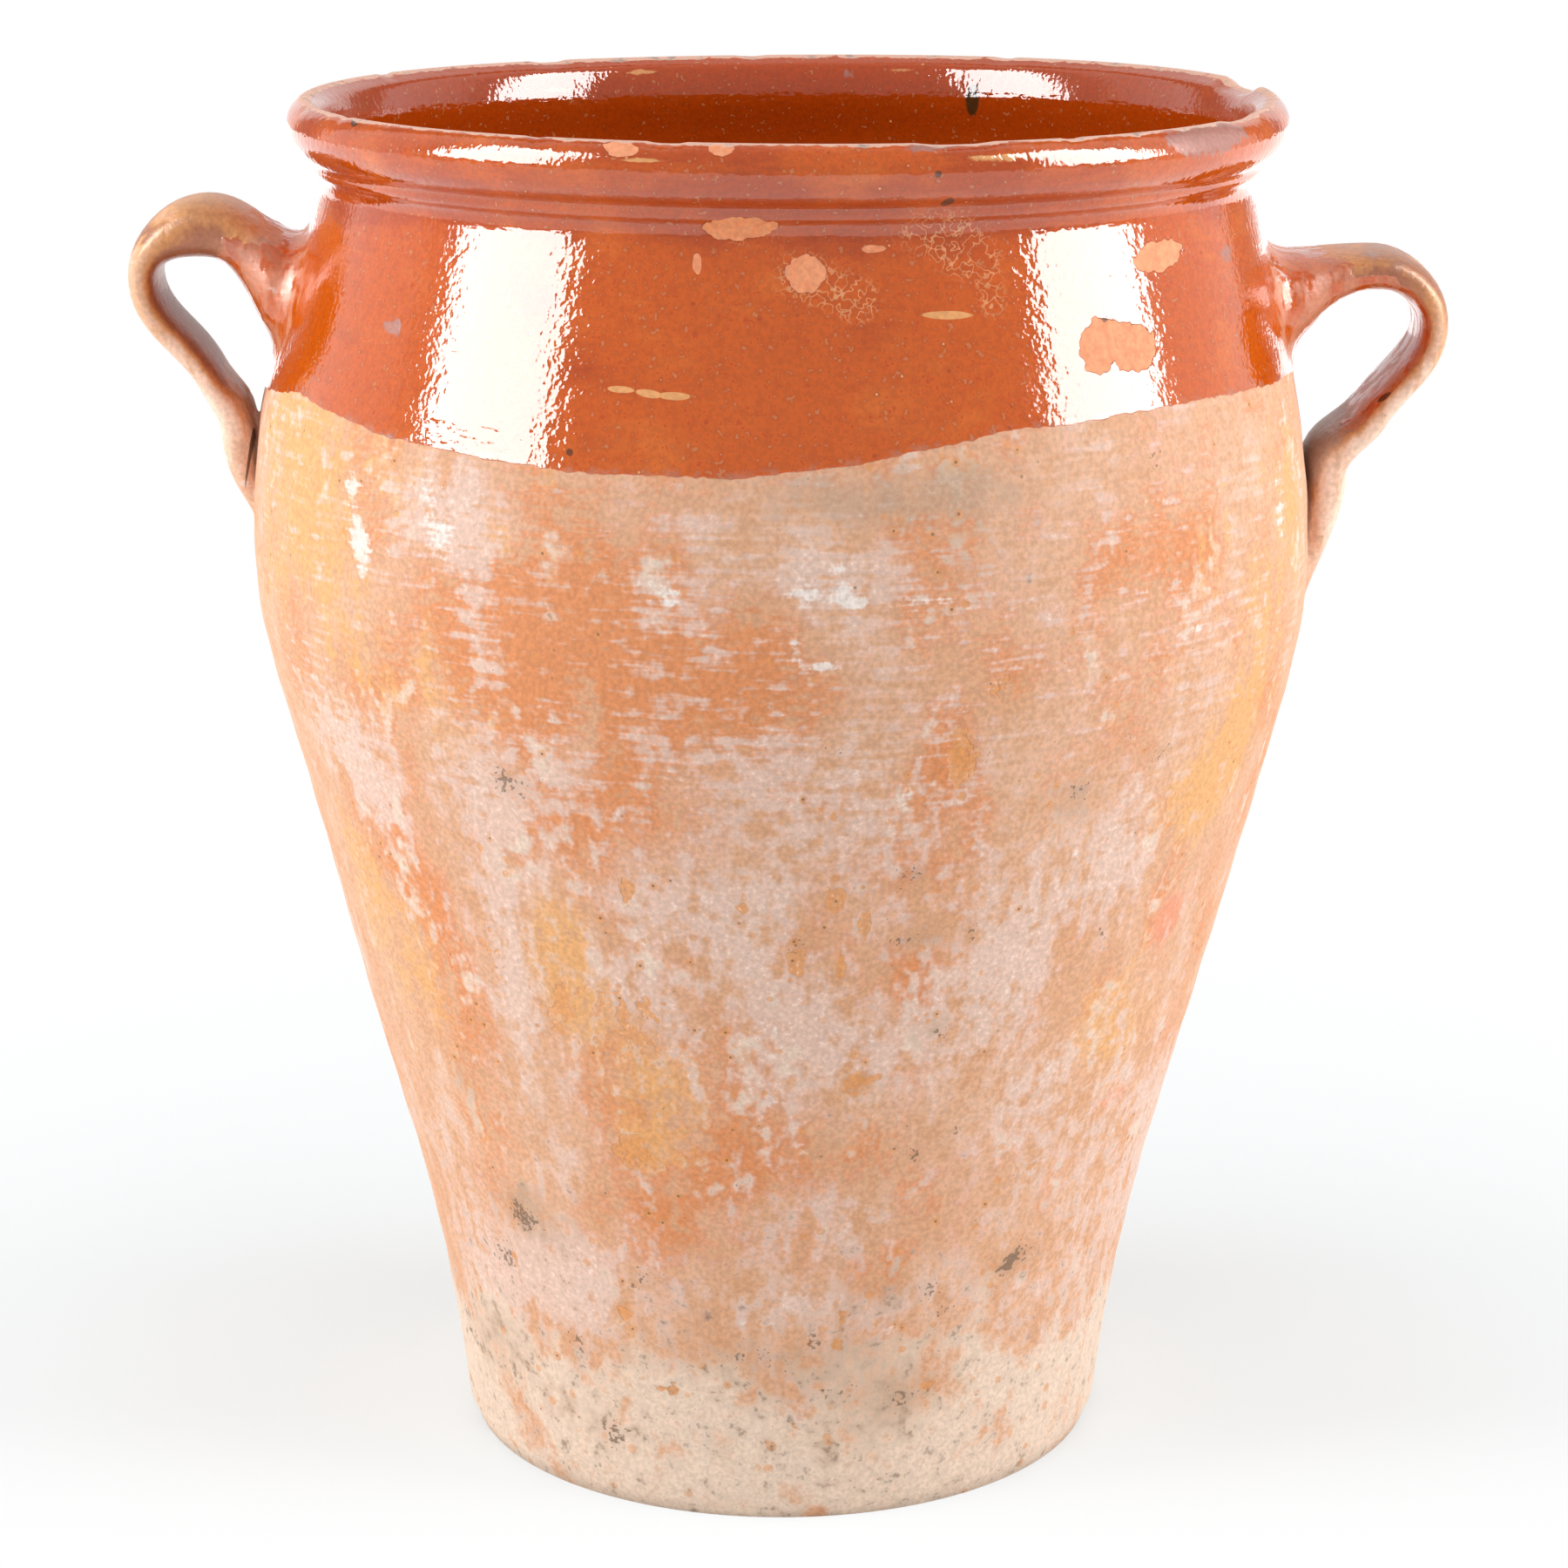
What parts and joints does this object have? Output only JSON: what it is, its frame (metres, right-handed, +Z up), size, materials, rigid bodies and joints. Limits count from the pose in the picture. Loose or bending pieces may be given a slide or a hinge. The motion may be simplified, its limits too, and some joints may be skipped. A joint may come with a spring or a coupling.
{
  "type": "olive jar",
  "caption": "Large open earthenware jar with a narrow foot, high round belly, rolled rim and a strap handle each side, glazed on the shoulder and inside.",
  "frame": {"origin": "middle of the foot, on the surface that the jar stands on", "axes": "+Z up the axis of the wheel, +X from the left handle to the right one, +Y away from the viewer"},
  "size_m": [0.3793, 0.31, 0.4],
  "materials": {
    "earthenware": "orange-brown clear lead glaze on the shoulder, rim and inside, bare lime-stained buff clay below"
  },
  "bodies": {
    "root": {"jar": "earthenware"}
  },
  "joints": []
}
